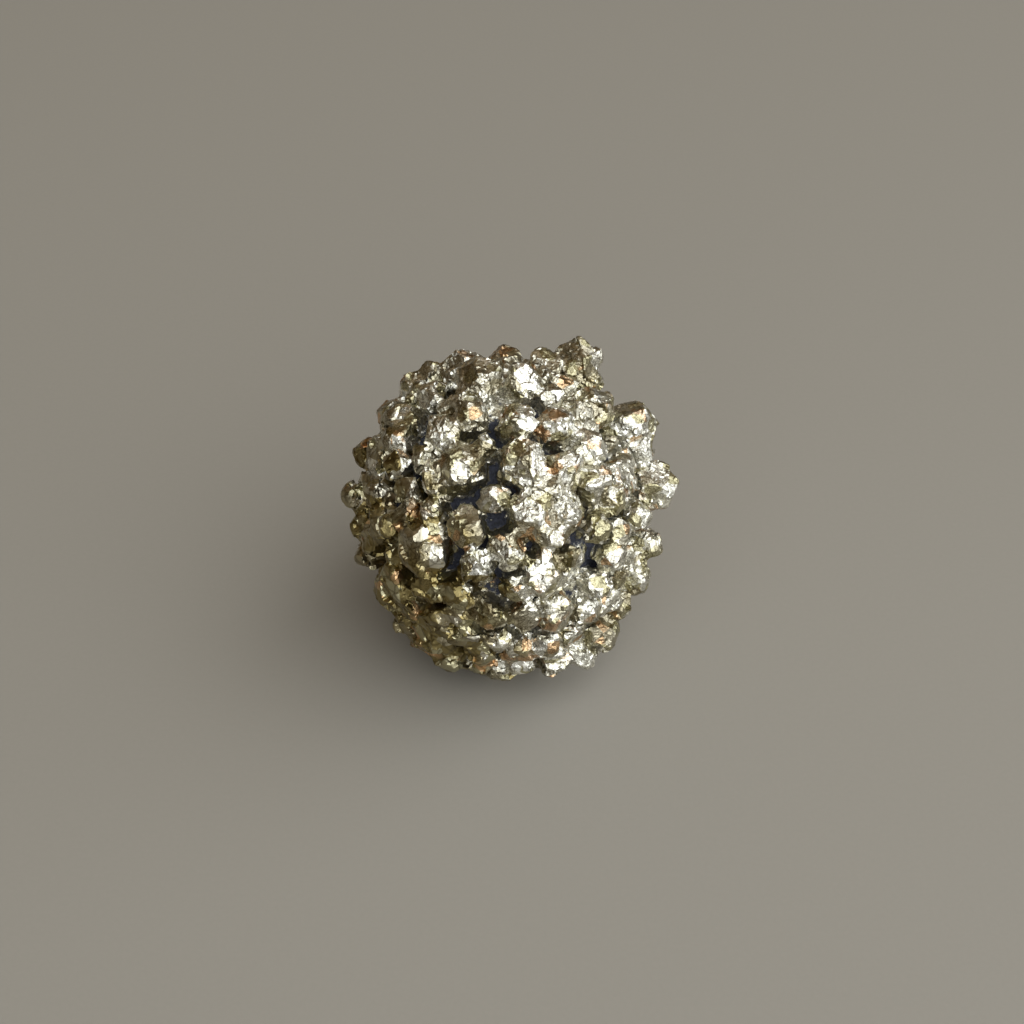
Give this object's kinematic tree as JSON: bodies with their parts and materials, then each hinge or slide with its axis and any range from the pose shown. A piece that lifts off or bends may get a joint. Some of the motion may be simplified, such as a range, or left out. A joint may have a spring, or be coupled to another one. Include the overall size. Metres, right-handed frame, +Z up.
{
  "type": "pyrite specimen",
  "caption": "Ball-shaped pyrite nodule of blocky, flat-faced crystals grown into each other, for display as a mineral specimen.",
  "frame": {"origin": "middle of the worn flat face that the nodule rests on, on the floor plane", "axes": "+Z up from the resting face; the side with the described crystals and the knobs at its upper right faces -Y"},
  "size_m": [0.0413, 0.0392, 0.0401],
  "materials": {
    "pyrite": "pale brass-yellow metallic crystal faces, bright and crinkled, with dark slate clay in the gaps"
  },
  "bodies": {
    "root": {"pyrite_nodule": "pyrite"}
  },
  "joints": []
}
